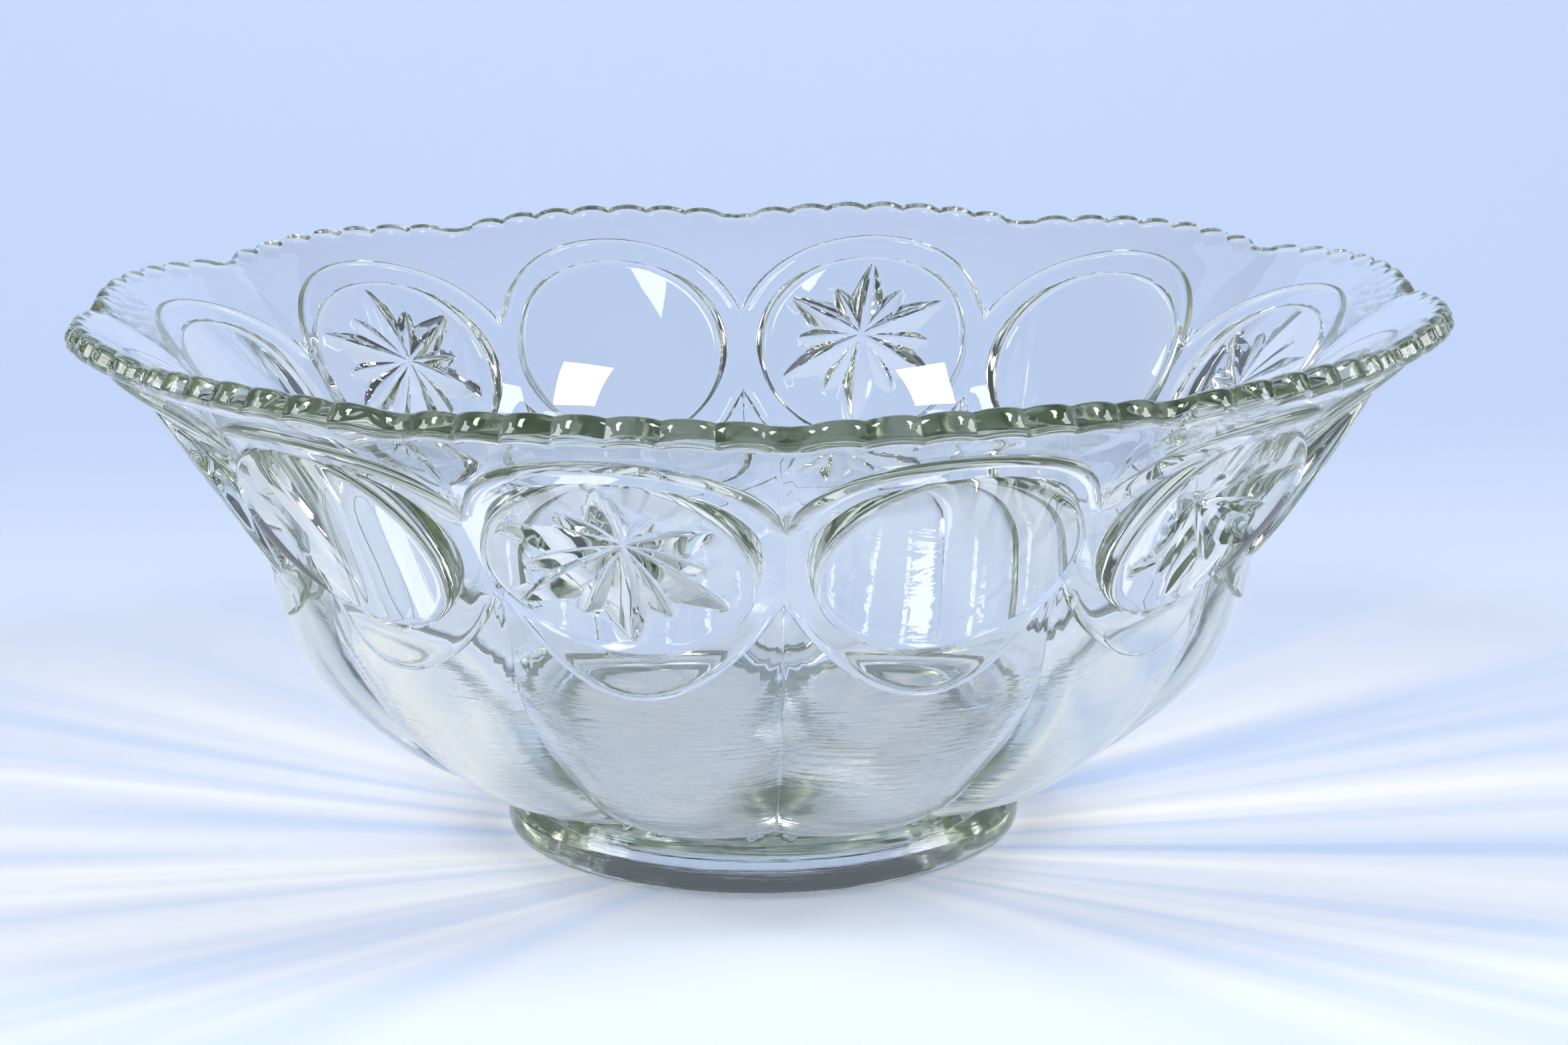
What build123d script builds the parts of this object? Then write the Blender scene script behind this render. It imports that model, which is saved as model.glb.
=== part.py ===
from build123d import *
import math
import os

# Pressed-glass punch bowl, one piece of glass.  Millimetres, +Z up, origin at the bottom centre.
# The outside is twelve equal panels; a panel's middle is modelled on +X and turned into place.

# ---- overall -------------------------------------------------------------------------------
PANELS = 12
RIM_TIP_RADIUS = 152.5          # furthest reach of a rim lobe
RIM_TIP_HEIGHT = 118.5          # height of that outer edge
WALL_SLOPE_AT_RIM = 31.0        # degrees the wall lies above level where it is trimmed off
FIRST_STAR_AZIMUTH = -105.0     # a star panel, then a plain one, and so on round

# ---- foot ----------------------------------------------------------------------------------
FOOT_NECK_RADIUS = 0.3574 * RIM_TIP_RADIUS      # where the foot meets the body
FOOT_BASE_RADIUS = FOOT_NECK_RADIUS
FOOT_WIDEST_RADIUS = FOOT_BASE_RADIUS + 3.7
FOOT_ROUND_HEIGHT = 4.0         # the bottom edge is rounded up to here
FOOT_SHOULDER_HEIGHT = 6.8      # top of the upright part of the foot's side
FOOT_HEIGHT = 13.5
FOOT_LAND = 6.0                 # width of the flat ring the bowl stands on
HOLLOW_DEPTH = 3.5              # shallow dish pressed up into the underside
HOLLOW_DRAFT = 4.0
CORE_RADIUS = FOOT_NECK_RADIUS - 9.5            # solid middle of the foot, up into the body

# ---- body, outside, along the middle of a panel ---------------------------------------------
# radius as a share of the rim's, height as a share of the way from the foot's top to the rim
BODY_SHARES = [
    (0.3607, 0.0000),
    (0.4230, 0.0190),
    (0.4984, 0.0638),
    (0.5679, 0.1324),
    (0.6361, 0.2210),
    (0.6833, 0.3152),
    (0.7043, 0.4095),
    (0.7115, 0.5095),
    (0.7384, 0.6200),
    (0.7816, 0.7219),
    (0.8295, 0.8124),
    (0.8820, 0.8886),
    (0.9410, 0.9495),
    (1.0000, 1.0000),
]
RIM_OVERSHOOT = 16.0            # wall is made this much too long, then trimmed
FLARE_START_SLOPE = 0.15        # steepness of the body where it leaves the foot
SECTION_STEP = 4.5              # spacing of the level sections the panels are drawn through
LOBE_CENTRE = [                 # (share of the height, how far out a lobe's centre is, of its reach)
    (0.0000, 0.70),
    (0.1571, 0.71),
    (0.2333, 0.69),
    (0.3095, 0.63),
    (0.3762, 0.51),
    (0.4333, 0.38),
    (0.5000, 0.28),
    (0.7286, 0.25),
    (1.0000, 0.20),
]

# ---- inside, smooth, turned about the bowl's own axis ---------------------------------------
# radius as a share of the rim's, height as a share of the way from the inside floor to the rim
FLOOR_HEIGHT = FOOT_HEIGHT + 2.0
INSIDE_SHARES = [
    (0.0000, 0.0000),
    (0.2492, 0.0126),
    (0.3738, 0.0563),
    (0.4787, 0.1311),
    (0.5639, 0.2282),
    (0.6177, 0.3291),
    (0.6485, 0.4282),
    (0.6702, 0.5252),
    (0.7016, 0.6340),
    (0.7475, 0.7466),
    (0.7987, 0.8437),
    (0.8557, 0.9252),
    (0.9180, 0.9913),
]

# ---- rim outline ---------------------------------------------------------------------------
LOBE_DEPTH = 4.8                # how far the dips between the twelve lobes come in
TEETH_PER_LOBE = 7
TOOTH_PITCH = 3.87              # degrees
NOTCH_DEPTH = 0.9

# ---- medallions ----------------------------------------------------------------------------
MEDALLION_RADIUS_OUT = 0.8098 * RIM_TIP_RADIUS  # centre of the coin's rim circle, from the axis
MEDALLION_HEIGHT = FOOT_HEIGHT + 0.7057 * (RIM_TIP_HEIGHT - FOOT_HEIGHT)
MEDALLION_SLOPE = 56.0          # degrees the coin lies above level
BAND_RADIUS = 32.6
BAND_DROP = 1.0                 # band's centre sits this far down the slope from the coin's
BAND_RAISE = 1.3                # band stands this proud of the panel
BAND_GAP = 0.35                 # from the band's side to the panel line
COIN_RADIUS = 26.0
COIN_LIP = 1.5                  # rounding of the coin's edge
DISH_DEPTH = 0.8                # the coin's face is dished this deep

# ---- stars (on every other coin) -----------------------------------------------------------
STAR_RAISE = 1.0                # star centre sits this far up the coin from its middle
STAR_DEPTH = 5.2
LONG_RAY = 22.7
SHORT_RAY = 16.9
SHORT_RAY_DEPTH = 4.6
RAY_FLANK = 50.0                # degrees each groove flank leans from straight down
STAR_PASSES = 6                 # each pass of the cut makes two opposite rays

HALF_PANEL = 180.0 / PANELS
TOP = RIM_TIP_HEIGHT + 25.0
FAR = RIM_TIP_RADIUS + 40.0


def placed(shares, start):
    """Turn (share of radius, share of height) points into millimetres."""
    return [(r * RIM_TIP_RADIUS, start + h * (RIM_TIP_HEIGHT - start)) for r, h in shares]


BODY_PROFILE = placed(BODY_SHARES, FOOT_HEIGHT)
INSIDE_PROFILE = placed(INSIDE_SHARES, FLOOR_HEIGHT)


def beyond(profile, slope, run):
    """Carry a profile on in a straight line past its last point."""
    r, z = profile[-1]
    return (r + run * math.cos(math.radians(slope)), z + run * math.sin(math.radians(slope)))


def rim_lean():
    """Direction of the wall where it is trimmed off."""
    slope = math.radians(WALL_SLOPE_AT_RIM)
    return (math.cos(slope), 0, math.sin(slope))


def wedge(gap=0.0):
    """The slice of space that belongs to one panel, less a gap along both sides."""
    reach = FAR
    side = reach * math.tan(math.radians(HALF_PANEL))
    start = gap / math.sin(math.radians(HALF_PANEL))
    flat = Polyline((start, 0), (reach + start, -side), (reach + start, side), (start, 0))
    return extrude(make_face(flat), TOP)


def lobe_centre(height, reach):
    """Distance of a lobe's centre from the bowl's axis, in the level section at this height."""
    up = (height - FOOT_HEIGHT) / (RIM_TIP_HEIGHT - FOOT_HEIGHT)
    below = LOBE_CENTRE[0]
    for above in LOBE_CENTRE:
        if above[0] >= up:
            break
        below = above
    gap = max(above[0] - below[0], 0.0001)
    part = min(max((up - below[0]) / gap, 0.0), 1.0)
    return reach * (below[1] + part * (above[1] - below[1]))


def section(reach, height):
    """Level slice of one panel: two straight sides from the axis and the lobe's round front."""
    centre = lobe_centre(height, reach)
    half = math.radians(HALF_PANEL)
    side = centre * math.cos(half) + math.sqrt((reach - centre) ** 2 - (centre * math.sin(half)) ** 2)
    left = (side * math.cos(half), -side * math.sin(half), height)
    right = (side * math.cos(half), side * math.sin(half), height)
    middle = (reach, 0, height)
    axis = (0, 0, height)
    return Wire([Line(axis, left), ThreePointArc(left, middle, right), Line(right, axis)])


def panel_blank(raise_by=0.0):
    """One lobed panel of the outside, filled in solid; raised evenly if asked."""
    run = beyond(BODY_PROFILE, WALL_SLOPE_AT_RIM, RIM_OVERSHOOT)
    points = BODY_PROFILE + [run]
    if raise_by:
        points = lifted(points, raise_by)
    curve = Spline([(r, 0, z) for r, z in points], tangents=[(1, 0, FLARE_START_SLOPE), rim_lean()])
    count = round(curve.length / SECTION_STEP)
    slices = []
    for i in range(count + 1):
        place = curve @ (i / count)
        slices.append(section(place.X, place.Z))
    return Solid.make_loft(slices)


def lifted(points, amount):
    """The same curve moved outwards, square to itself."""
    moved = []
    last = len(points) - 1
    for i, (r, z) in enumerate(points):
        r0, z0 = points[max(i - 1, 0)]
        r1, z1 = points[min(i + 1, last)]
        length = math.hypot(r1 - r0, z1 - z0)
        moved.append((r + amount * (z1 - z0) / length, z - amount * (r1 - r0) / length))
    return moved


def coin_plane():
    """Plane of a coin: origin at its centre, x up the slope, z pointing out of the glass."""
    lean = math.radians(MEDALLION_SLOPE)
    return Plane(
        origin=(MEDALLION_RADIUS_OUT, 0, MEDALLION_HEIGHT),
        x_dir=(math.cos(lean), 0, math.sin(lean)),
        z_dir=(math.sin(lean), 0, -math.cos(lean)),
    )


def band():
    """Raised band round a coin: the panel's own surface, lifted, inside a tilted cylinder."""
    post = coin_plane() * Pos(-BAND_DROP, 0, 0) * Cylinder(BAND_RADIUS, 40)
    return panel_blank(BAND_RAISE) & post & wedge(BAND_GAP)


def coin_clearance():
    """Everything in front of the coin's face, so the face is never buried."""
    return coin_plane() * Pos(0, 0, 15) * Cylinder(COIN_RADIUS, 30)


def coin():
    """Round coin with a rounded edge and a face dished towards the middle."""
    edge = COIN_RADIUS
    lip = COIN_LIP
    crest = edge - lip
    deep = -12.0
    arc_mid = (edge - lip * (1 - math.sqrt(0.5)), 0, -lip * (1 - math.sqrt(0.5)))
    dish_radius = (crest ** 2 + DISH_DEPTH ** 2) / (2 * DISH_DEPTH)
    half = crest / 2
    dish_mid = -DISH_DEPTH + dish_radius - math.sqrt(dish_radius ** 2 - half ** 2)
    profile = Wire([
        Line((0, 0, deep), (edge, 0, deep)),
        Line((edge, 0, deep), (edge, 0, -lip)),
        ThreePointArc((edge, 0, -lip), arc_mid, (crest, 0, 0)),
        ThreePointArc((crest, 0, 0), (half, 0, dish_mid), (0, 0, -DISH_DEPTH)),
        Line((0, 0, -DISH_DEPTH), (0, 0, deep)),
    ])
    return coin_plane() * revolve(make_face(profile), Axis.Z, 360)


def ray_pair(length, depth):
    """Shape of a grinding wheel that cuts two opposite rays in one pass, tips on the dished face."""
    crest = COIN_RADIUS - COIN_LIP
    wheel = 1 / (2 * depth / length ** 2 + 2 * DISH_DEPTH / crest ** 2)
    tall = depth + 2.5
    flare = tall * math.tan(math.radians(RAY_FLANK))
    section = Polyline((wheel, 0, 0), (wheel - tall, flare, 0), (wheel - tall, -flare, 0), (wheel, 0, 0))
    ring = revolve(make_face(section), Axis.Y, 360)
    return Pos(0, 0, wheel - depth - DISH_DEPTH) * ring


def star_cutter():
    """All the wheels of one star, long rays and short rays in turn."""
    wheels = []
    for i in range(STAR_PASSES):
        length, depth = (LONG_RAY, STAR_DEPTH) if i % 2 == 0 else (SHORT_RAY, SHORT_RAY_DEPTH)
        wheels.append(Rot(0, 0, i * 180.0 / STAR_PASSES) * ray_pair(length, depth))
    return [coin_plane() * Pos(STAR_RAISE, 0, 0) * w for w in wheels]


def foot():
    """Thick round foot with a shallow dish underneath."""
    land_inner = FOOT_BASE_RADIUS - FOOT_LAND
    hollow = land_inner - HOLLOW_DRAFT
    spread = FOOT_WIDEST_RADIUS - FOOT_BASE_RADIUS
    curve_mid = (FOOT_BASE_RADIUS + 0.73 * spread, 0, 0.34 * FOOT_ROUND_HEIGHT)
    round_top = (FOOT_WIDEST_RADIUS, 0, FOOT_ROUND_HEIGHT)
    shoulder = (FOOT_WIDEST_RADIUS, 0, FOOT_SHOULDER_HEIGHT)
    profile = Wire([
        Line((0, 0, HOLLOW_DEPTH), (hollow, 0, HOLLOW_DEPTH)),
        Line((hollow, 0, HOLLOW_DEPTH), (land_inner, 0, 0)),
        Line((land_inner, 0, 0), (FOOT_BASE_RADIUS, 0, 0)),
        ThreePointArc((FOOT_BASE_RADIUS, 0, 0), curve_mid, round_top),
        Line(round_top, shoulder),
        Line(shoulder, (FOOT_NECK_RADIUS, 0, FOOT_HEIGHT + 0.4)),
        Line((FOOT_NECK_RADIUS, 0, FOOT_HEIGHT + 0.4), (CORE_RADIUS, 0, FOOT_HEIGHT + 5)),
        Line((CORE_RADIUS, 0, FOOT_HEIGHT + 5), (CORE_RADIUS, 0, TOP)),
        Line((CORE_RADIUS, 0, TOP), (0, 0, TOP)),
        Line((0, 0, TOP), (0, 0, HOLLOW_DEPTH)),
    ])
    return revolve(make_face(profile), Axis.Z, 360)


def inside():
    """The hollow of the bowl, turned about its axis and carried on past the rim."""
    end = beyond(INSIDE_PROFILE, WALL_SLOPE_AT_RIM, 1.5 * RIM_OVERSHOOT)
    points = [(r, 0, z) for r, z in INSIDE_PROFILE + [end]]
    ceiling = TOP + 10
    profile = Wire([
        Spline(points, tangents=[(1, 0, 0), rim_lean()]),
        Line(points[-1], (end[0], 0, ceiling)),
        Line((end[0], 0, ceiling), (0, 0, ceiling)),
        Line((0, 0, ceiling), points[0]),
    ])
    return revolve(make_face(profile), Axis.Z, 360)


def lobe_radius(offset):
    """Outline radius at the tip height, this many degrees from a panel's middle."""
    share = math.cos(math.radians(90.0 * offset / HALF_PANEL))
    return RIM_TIP_RADIUS - LOBE_DEPTH * (1.0 - max(share, 0.0))


def outline_edges(scale, z):
    """The toothed outline, level at height z, drawn in or out by scale."""
    def at(azimuth, radius):
        a = math.radians(azimuth)
        return (radius * scale * math.cos(a), radius * scale * math.sin(a), z)

    edges = []
    half = TEETH_PER_LOBE / 2
    for k in range(PANELS):
        middle = k * 2 * HALF_PANEL + FIRST_STAR_AZIMUTH
        for i in range(TEETH_PER_LOBE):
            tooth = (i - (TEETH_PER_LOBE - 1) / 2) * TOOTH_PITCH
            a = tooth - TOOTH_PITCH / 2
            b = tooth + TOOTH_PITCH / 2
            start = at(middle + a, lobe_radius(a) - NOTCH_DEPTH)
            stop = at(middle + b, lobe_radius(b) - NOTCH_DEPTH)
            edges.append(ThreePointArc(start, at(middle + tooth, lobe_radius(tooth)), stop))
        last = half * TOOTH_PITCH
        start = at(middle + last, lobe_radius(last) - NOTCH_DEPTH)
        dip = at(middle + HALF_PANEL, RIM_TIP_RADIUS - LOBE_DEPTH - NOTCH_DEPTH)
        stop = at(middle + 2 * HALF_PANEL - last, lobe_radius(last) - NOTCH_DEPTH)
        edges.append(ThreePointArc(start, dip, stop))
    return edges


def rim_trim():
    """Everything outside the toothed edge, the edge standing square to the wall."""
    lean = math.tan(math.radians(WALL_SLOPE_AT_RIM))
    low = RIM_TIP_HEIGHT - 20.0
    high = RIM_TIP_HEIGHT + 20.0
    grow = (RIM_TIP_HEIGHT - low) * lean / RIM_TIP_RADIUS
    bottom = Wire(outline_edges(1 + grow, low))
    top = Wire(outline_edges(1 - grow, high))
    keep = Solid.make_loft([bottom, top], ruled=True)
    block = Pos(0, 0, (low + high) / 2) * Cylinder(FAR, high - low - 1.0)
    return block - keep


def bowl():
    turn = [FIRST_STAR_AZIMUTH + k * 2 * HALF_PANEL for k in range(PANELS)]
    panel = panel_blank()
    ring = band()
    disc = coin()
    clear = coin_clearance()
    plain = (panel + ring) - clear + (disc & wedge())
    starred = plain
    for cutter in star_cutter():
        starred = starred - cutter
    solids = []
    for k, azimuth in enumerate(turn):
        solids.append(Rot(0, 0, azimuth) * (starred if k % 2 == 0 else plain))
    body = foot()
    body = body.fuse(*solids)
    body = body - inside()
    body = body - rim_trim()
    return body


def main():
    os.makedirs("parts", exist_ok=True)
    glass = bowl()
    export_step(glass, "parts/glass_bowl.step")
    print("glass_bowl", glass.is_valid, len(glass.solids()), round(glass.volume / 1000, 1), glass.bounding_box())


main()
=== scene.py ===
# %% [markdown]
# # A pressed glass punch bowl
# In this lesson you make a clear glass bowl: a round foot, a lobed body, a flared rim with
# small teeth, and twelve round medallions, every other one cut with a star.
#
# Glass shows every bend of its surface twice, once in front and once behind, so the mesh has
# to be smooth where the glass is smooth, sharp where it is sharp, and closed all round. We get
# that by laying even grids of faces over formulas for the surface.
#
# First we load the frame, which holds the size and place of the finished bowl.

import math

import bmesh
import bpy
import numpy as np
from mathutils import Matrix, Vector


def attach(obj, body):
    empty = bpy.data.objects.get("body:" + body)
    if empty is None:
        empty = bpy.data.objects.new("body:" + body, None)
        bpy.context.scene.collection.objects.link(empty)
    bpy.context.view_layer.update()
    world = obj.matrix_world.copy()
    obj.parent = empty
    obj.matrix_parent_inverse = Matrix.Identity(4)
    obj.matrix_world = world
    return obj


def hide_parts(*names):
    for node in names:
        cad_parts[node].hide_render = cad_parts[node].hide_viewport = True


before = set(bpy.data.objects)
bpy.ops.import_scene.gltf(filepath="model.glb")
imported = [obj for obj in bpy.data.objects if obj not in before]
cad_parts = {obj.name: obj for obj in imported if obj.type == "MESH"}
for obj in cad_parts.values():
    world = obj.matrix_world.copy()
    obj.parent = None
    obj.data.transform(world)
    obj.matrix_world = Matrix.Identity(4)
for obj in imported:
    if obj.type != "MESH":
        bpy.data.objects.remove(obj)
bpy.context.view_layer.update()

# %% [markdown]
# ## Sizes
# All sizes are in millimetres, angles in degrees. The outside is made of twelve equal panels.
# We model one panel around the +X direction and turn copies of it into place later.

# %% Sizes
MM = 0.001
PANELS = 12
PANEL = 360.0 / PANELS
HALF = PANEL / 2
FIRST_STAR = -105.0

RIM_TIP_RADIUS = 152.5
RIM_TIP_HEIGHT = 118.5
RIM_SLOPE = 31.0
LOBE_DEPTH = 4.8
TEETH = 7
TOOTH_PITCH = 3.87
NOTCH_DEPTH = 1.9
RIM_ROUNDING = 1.9

FOOT_NECK = (54.5, 13.9)
FOOT_CORE = (45.0, 18.5)
FOOT_SIDE = [
    (54.6, 13.6), (55.6, 11.8), (57.3, 8.5), (58.0, 7.2), (58.2, 6.8), (58.25, 5.4), (58.2, 4.0),
    (57.9, 2.4), (57.2, 1.36), (56.0, 0.5), (54.5, 0.0), (51.5, 0.0), (48.5, 0.0), (48.0, 0.4),
    (44.9, 3.2), (44.3, 3.5), (30.0, 3.5), (15.0, 3.5), (0.0, 3.5),
]
BODY_POINTS = [
    (55.0, 13.5), (64.5, 15.5), (76.0, 20.2), (86.6, 27.4), (97.0, 36.7), (104.2, 46.6),
    (107.4, 56.5), (108.5, 67.0), (112.6, 78.6), (119.2, 89.3), (126.5, 98.8), (134.5, 106.8),
    (143.5, 113.2), (RIM_TIP_RADIUS, RIM_TIP_HEIGHT),
]
INSIDE_POINTS = [
    (0.0, 15.5), (38.0, 16.8), (57.0, 21.3), (73.0, 29.0), (86.0, 39.0), (94.2, 49.4),
    (98.9, 59.6), (102.2, 69.6), (107.0, 80.8), (114.0, 92.4), (121.8, 102.4), (130.5, 110.8),
    (140.0, 117.6),
]
LOBE_CENTRE = [
    (13.5, 0.70), (30.0, 0.71), (38.0, 0.69), (46.0, 0.63), (53.0, 0.51), (59.0, 0.38),
    (66.0, 0.28), (90.0, 0.25), (118.5, 0.20),
]
CREASE_FILL = 0.15

COIN_CENTRE = (123.5, 87.6)
COIN_SLOPE = 56.0
COIN_RADIUS = 26.0
COIN_WIDE = 27.2 / COIN_RADIUS
COIN_TALL = 24.8 / COIN_RADIUS
COIN_LIP = 1.3
DISH_DEPTH = 0.8
BAND_RADIUS = 32.6
BAND_DROP = 1.0
BAND_RAISE = 1.7
BAND_ROUND = 3.0
STEP_FADE = 9.0
STAR_RAISE = 1.0
LONG_RAY, LONG_DEPTH = 22.7, 5.0
SHORT_RAY, SHORT_DEPTH = 16.9, 4.5
RAY_FLANK = 48.0
RAY_ROUND = 0.5
print(PANELS, "panels, rim", 2 * RIM_TIP_RADIUS, "mm across the lobe tips")

# %% [markdown]
# ## Smooth curves through a few points
# The body's side and the inside are each drawn through a handful of points. A cubic piece
# between each pair of points, with matching bends where the pieces meet, gives one smooth
# curve. Solving one small set of equations finds the directions that make the bends match.
#
# The curves come back as long tables of radius and height, so that `np.interp` can look up
# any place on them.

# %% Smooth curves
def smooth_curve(points, start, end, count=1200):
    """Tables of radius and height along a smooth curve with given directions at its ends."""
    pts = np.array(points, float)
    step = np.hypot(*(pts[1:] - pts[:-1]).T)
    t = np.concatenate([[0.0], np.cumsum(step)])
    n = len(pts)
    s = np.linspace(0, t[-1], count)
    k = np.clip(np.searchsorted(t, s, side="right") - 1, 0, n - 2)
    h = step[k]
    u = (s - t[k]) / h
    out = []
    for axis in (0, 1):
        y = pts[:, axis]
        a = np.zeros((n, n))
        b = np.zeros(n)
        a[0, 0], b[0] = 1.0, start[axis]
        a[-1, -1], b[-1] = 1.0, end[axis]
        for i in range(1, n - 1):
            h0, h1 = step[i - 1], step[i]
            a[i, i - 1], a[i, i], a[i, i + 1] = h1, 2 * (h0 + h1), h0
            b[i] = 3 * (h1 * (y[i] - y[i - 1]) / h0 + h0 * (y[i + 1] - y[i]) / h1)
        m = np.linalg.solve(a, b)
        near = (2 * u**3 - 3 * u**2 + 1) * y[k] + (u**3 - 2 * u**2 + u) * h * m[k]
        far = (-2 * u**3 + 3 * u**2) * y[k + 1] + (u**3 - u**2) * h * m[k + 1]
        out.append(near + far)
    return out


def unit(x, z):
    size = math.hypot(x, z)
    return (x / size, z / size)


def carried_on(points, run):
    """The points, and one more straight on past the rim."""
    r, z = points[-1]
    return points + [(r + run * rim_lean[0], z + run * rim_lean[1])]


def along(r_table, z_table):
    """Distance along a curve, for each entry of its tables."""
    return np.concatenate([[0.0], np.cumsum(np.hypot(np.diff(r_table), np.diff(z_table)))])


def ease(t):
    """0 to 1 with a soft start and a soft stop."""
    t = np.clip(t, 0.0, 1.0)
    return t * t * (3 - 2 * t)


def halved(low, high, too_far, rounds=44):
    """Narrow down, by halving, the place where too_far turns true."""
    for _ in range(rounds):
        mid = (low + high) / 2
        over = too_far(mid)
        high = np.where(over, mid, high)
        low = np.where(over, low, mid)
    return (low + high) / 2


rim_lean = (math.cos(math.radians(RIM_SLOPE)), math.sin(math.radians(RIM_SLOPE)))
body_r, body_z = smooth_curve(carried_on(BODY_POINTS, 8.0), unit(1, 0.15), rim_lean)
inside_r, inside_z = smooth_curve(carried_on(INSIDE_POINTS, 24.0), (1, 0), rim_lean)
body_s = along(body_r, body_z)
inside_s = along(inside_r, inside_z)
print("outside line", round(body_s[-1], 1), "mm long, inside line", round(inside_s[-1], 1), "mm")

# %% [markdown]
# ## Lobes
# Seen from above, a panel is a round lobe: an arc whose centre lies part of the way out from
# the bowl's axis. The further out the centre, the rounder the lobe and the deeper the crease
# between two of them. Low on the body the creases are deep; towards the rim they nearly
# vanish. `lobe_radius_at` works out where the arc is in any direction.

# %% Lobes
lobe_heights, lobe_shares = np.array(LOBE_CENTRE).T


def lobe_radius_at(azimuth, reach, z):
    """Distance from the bowl's axis to a lobe, at an azimuth in degrees off its middle."""
    a = np.radians(azimuth)
    centre = reach * np.interp(z, lobe_heights, lobe_shares)
    return centre * np.cos(a) + np.sqrt((reach - centre) ** 2 - (centre * np.sin(a)) ** 2)


def polar(azimuth, radius, z):
    a = np.radians(azimuth)
    return np.stack([radius * np.cos(a), radius * np.sin(a), z + 0 * radius], axis=-1)


def body_point(azimuth, s):
    """Point of the outside, s millimetres up the wall."""
    r = np.interp(s, body_s, body_r)
    z = np.interp(s, body_s, body_z)
    return polar(azimuth, lobe_radius_at(azimuth, r, z), z)


def inside_point(azimuth, s):
    """Point of the smooth inside, s millimetres from its middle."""
    return polar(azimuth, np.interp(s, inside_s, inside_r), np.interp(s, inside_s, inside_z))


def azimuth_of(points):
    return np.degrees(np.arctan2(points[..., 1], points[..., 0]))


valley_share = lobe_radius_at(HALF, 97.0, 36.7) / 97.0
print("low on the body a crease is", round(100 * (1 - valley_share), 1), "% further in than the lobe")

# %% [markdown]
# ## The coin's plane
# Each medallion is a round coin lying on the sloping wall, with a raised band round it. We
# measure on the coin's own plane: p up the slope, q sideways, h out of the glass.
# `body_height` says how high the bare panel is over that plane; below it, it is negative.

# %% Coin plane
lean = math.radians(COIN_SLOPE)
COIN_ORIGIN = np.array([COIN_CENTRE[0], 0.0, COIN_CENTRE[1]])
UP_SLOPE = np.array([math.cos(lean), 0.0, math.sin(lean)])
SIDEWAYS = np.array([0.0, 1.0, 0.0])
OUTWARD = np.array([math.sin(lean), 0.0, -math.cos(lean)])


def on_coin(p, q, h):
    p, q, h = np.broadcast_arrays(p, q, h)
    return COIN_ORIGIN + p[..., None] * UP_SLOPE + q[..., None] * SIDEWAYS + h[..., None] * OUTWARD


def body_height(p, q):
    """Height of the bare panel over the coin's plane."""
    p, q = np.broadcast_arrays(np.asarray(p, float), np.asarray(q, float))

    def outside(h):
        x, y, z = np.moveaxis(on_coin(p, q, h), -1, 0)
        reach = np.interp(z, body_z, body_r)
        centre = reach * np.interp(z, lobe_heights, lobe_shares)
        return np.hypot(x - centre, y) + centre > reach

    return halved(np.full(p.shape, -22.0), np.full(p.shape, 22.0), outside)


print("the coin's middle is", round(-float(body_height(0.0, 0.0)), 2), "mm over the bare panel")

# %% [markdown]
# ## Outline of the band
# The band is a circle a little larger than the panel, so neighbouring bands touch and the
# crease cuts a piece off each side. For every direction round the coin, the outline is the
# nearer of the circle and the crease. Where it is the crease, the band keeps its full height
# right up to its neighbour; elsewhere its edge steps down to the wall.
#
# `ring_degrees` holds the directions of the mesh lines round a medallion, closer together
# where the circle and the crease meet.

# %% Band outline
def crease_reach(angle):
    """How far from the coin's centre the crease is, in this direction."""
    c, s = np.cos(angle), np.sin(angle)

    def beyond(mid):
        reach = np.minimum(mid, 60.0)
        h = body_height(reach * c, reach * s) + BAND_RAISE
        return (np.abs(azimuth_of(on_coin(reach * c, reach * s, h))) > HALF) | (mid > 60.0)

    return halved(np.full(angle.shape, 5.0), np.full(angle.shape, 400.0), beyond)


def circle_reach(angle):
    """Distance to the band's circle, whose centre is a little below the coin's."""
    c, s = np.cos(angle), np.sin(angle)
    return -BAND_DROP * c + np.sqrt(BAND_RADIUS**2 - (BAND_DROP * s) ** 2)


scan = np.radians(np.linspace(40, 140, 401))
touching = crease_reach(scan) < circle_reach(scan)
NECK_TOP = math.degrees(scan[touching][0])
NECK_BOTTOM = math.degrees(scan[touching][-1])

UPPER, SIDE, LOWER = 60, 12, 60
top_arc = np.linspace(-NECK_TOP, NECK_TOP, UPPER + 1)
side_arc = np.linspace(NECK_TOP, NECK_BOTTOM, SIDE + 1)
bottom_arc = np.linspace(NECK_BOTTOM, 360 - NECK_BOTTOM, LOWER + 1)
bottom_arc[1], bottom_arc[2] = NECK_BOTTOM + 0.8, NECK_BOTTOM + 3.0
bottom_arc[-2], bottom_arc[-3] = 360 - bottom_arc[1], 360 - bottom_arc[2]
other_side = np.linspace(360 - NECK_BOTTOM, 360 - NECK_TOP, SIDE + 1)
ring_degrees = np.concatenate([top_arc, side_arc[1:], bottom_arc[1:], other_side[1:]])
ring = np.radians(ring_degrees)
ring_start = int(np.argmin(np.abs(ring_degrees)))
ring_cos, ring_sin = np.cos(ring), np.sin(ring)

outline = np.minimum(circle_reach(ring), crease_reach(ring))
fold = np.degrees(np.abs((ring + math.pi) % (2 * math.pi) - math.pi))
past_neck = np.maximum(np.maximum(NECK_TOP - fold, fold - NECK_BOTTOM), 0.0)
step_share = ease(past_neck / STEP_FADE)
print("bands touch between", round(NECK_TOP, 1), "and", round(NECK_BOTTOM, 1), "degrees")

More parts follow.
